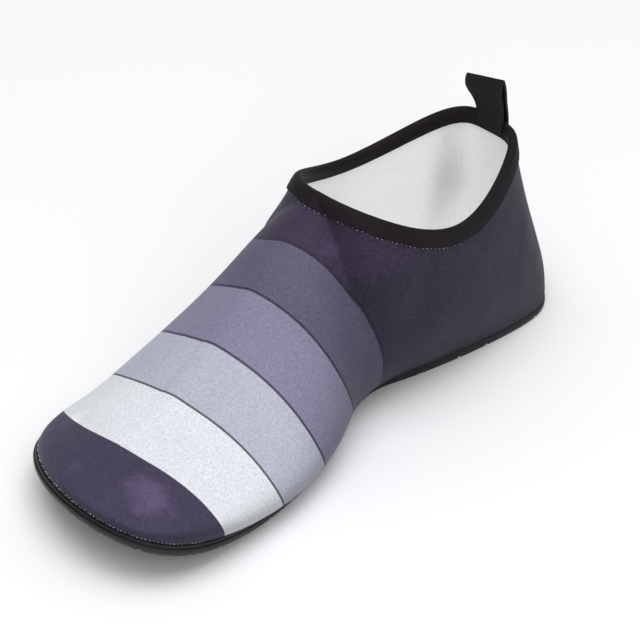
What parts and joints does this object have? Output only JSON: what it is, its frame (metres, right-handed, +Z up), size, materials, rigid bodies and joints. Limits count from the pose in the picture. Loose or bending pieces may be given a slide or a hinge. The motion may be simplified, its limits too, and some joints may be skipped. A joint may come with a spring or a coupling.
{
  "type": "water shoe",
  "caption": "Low pull-on water shoe for a right foot: printed stretch-knit upper with a bound collar, a webbing pull tab at the heel and a thin lugged rubber sole with toe spring.",
  "frame": {"origin": "on the floor under the heel, at the middle of the heel's flat pad", "axes": "+X towards the toe, +Y towards the medial side, +Z up"},
  "size_m": [0.2689, 0.1127, 0.1137],
  "materials": {
    "rubber": "satin moulded rubber with lugs",
    "liner": "white foam sock liner faced with cloth",
    "knit": "stretch knit printed in purple-grey bands, white lining",
    "elastic": "black woven elastic tape",
    "webbing": "black woven webbing"
  },
  "bodies": {
    "root": {"outsole": "rubber", "insole": "liner", "upper": "knit", "collar_binding": "elastic", "pull_tab": "webbing"}
  },
  "joints": []
}
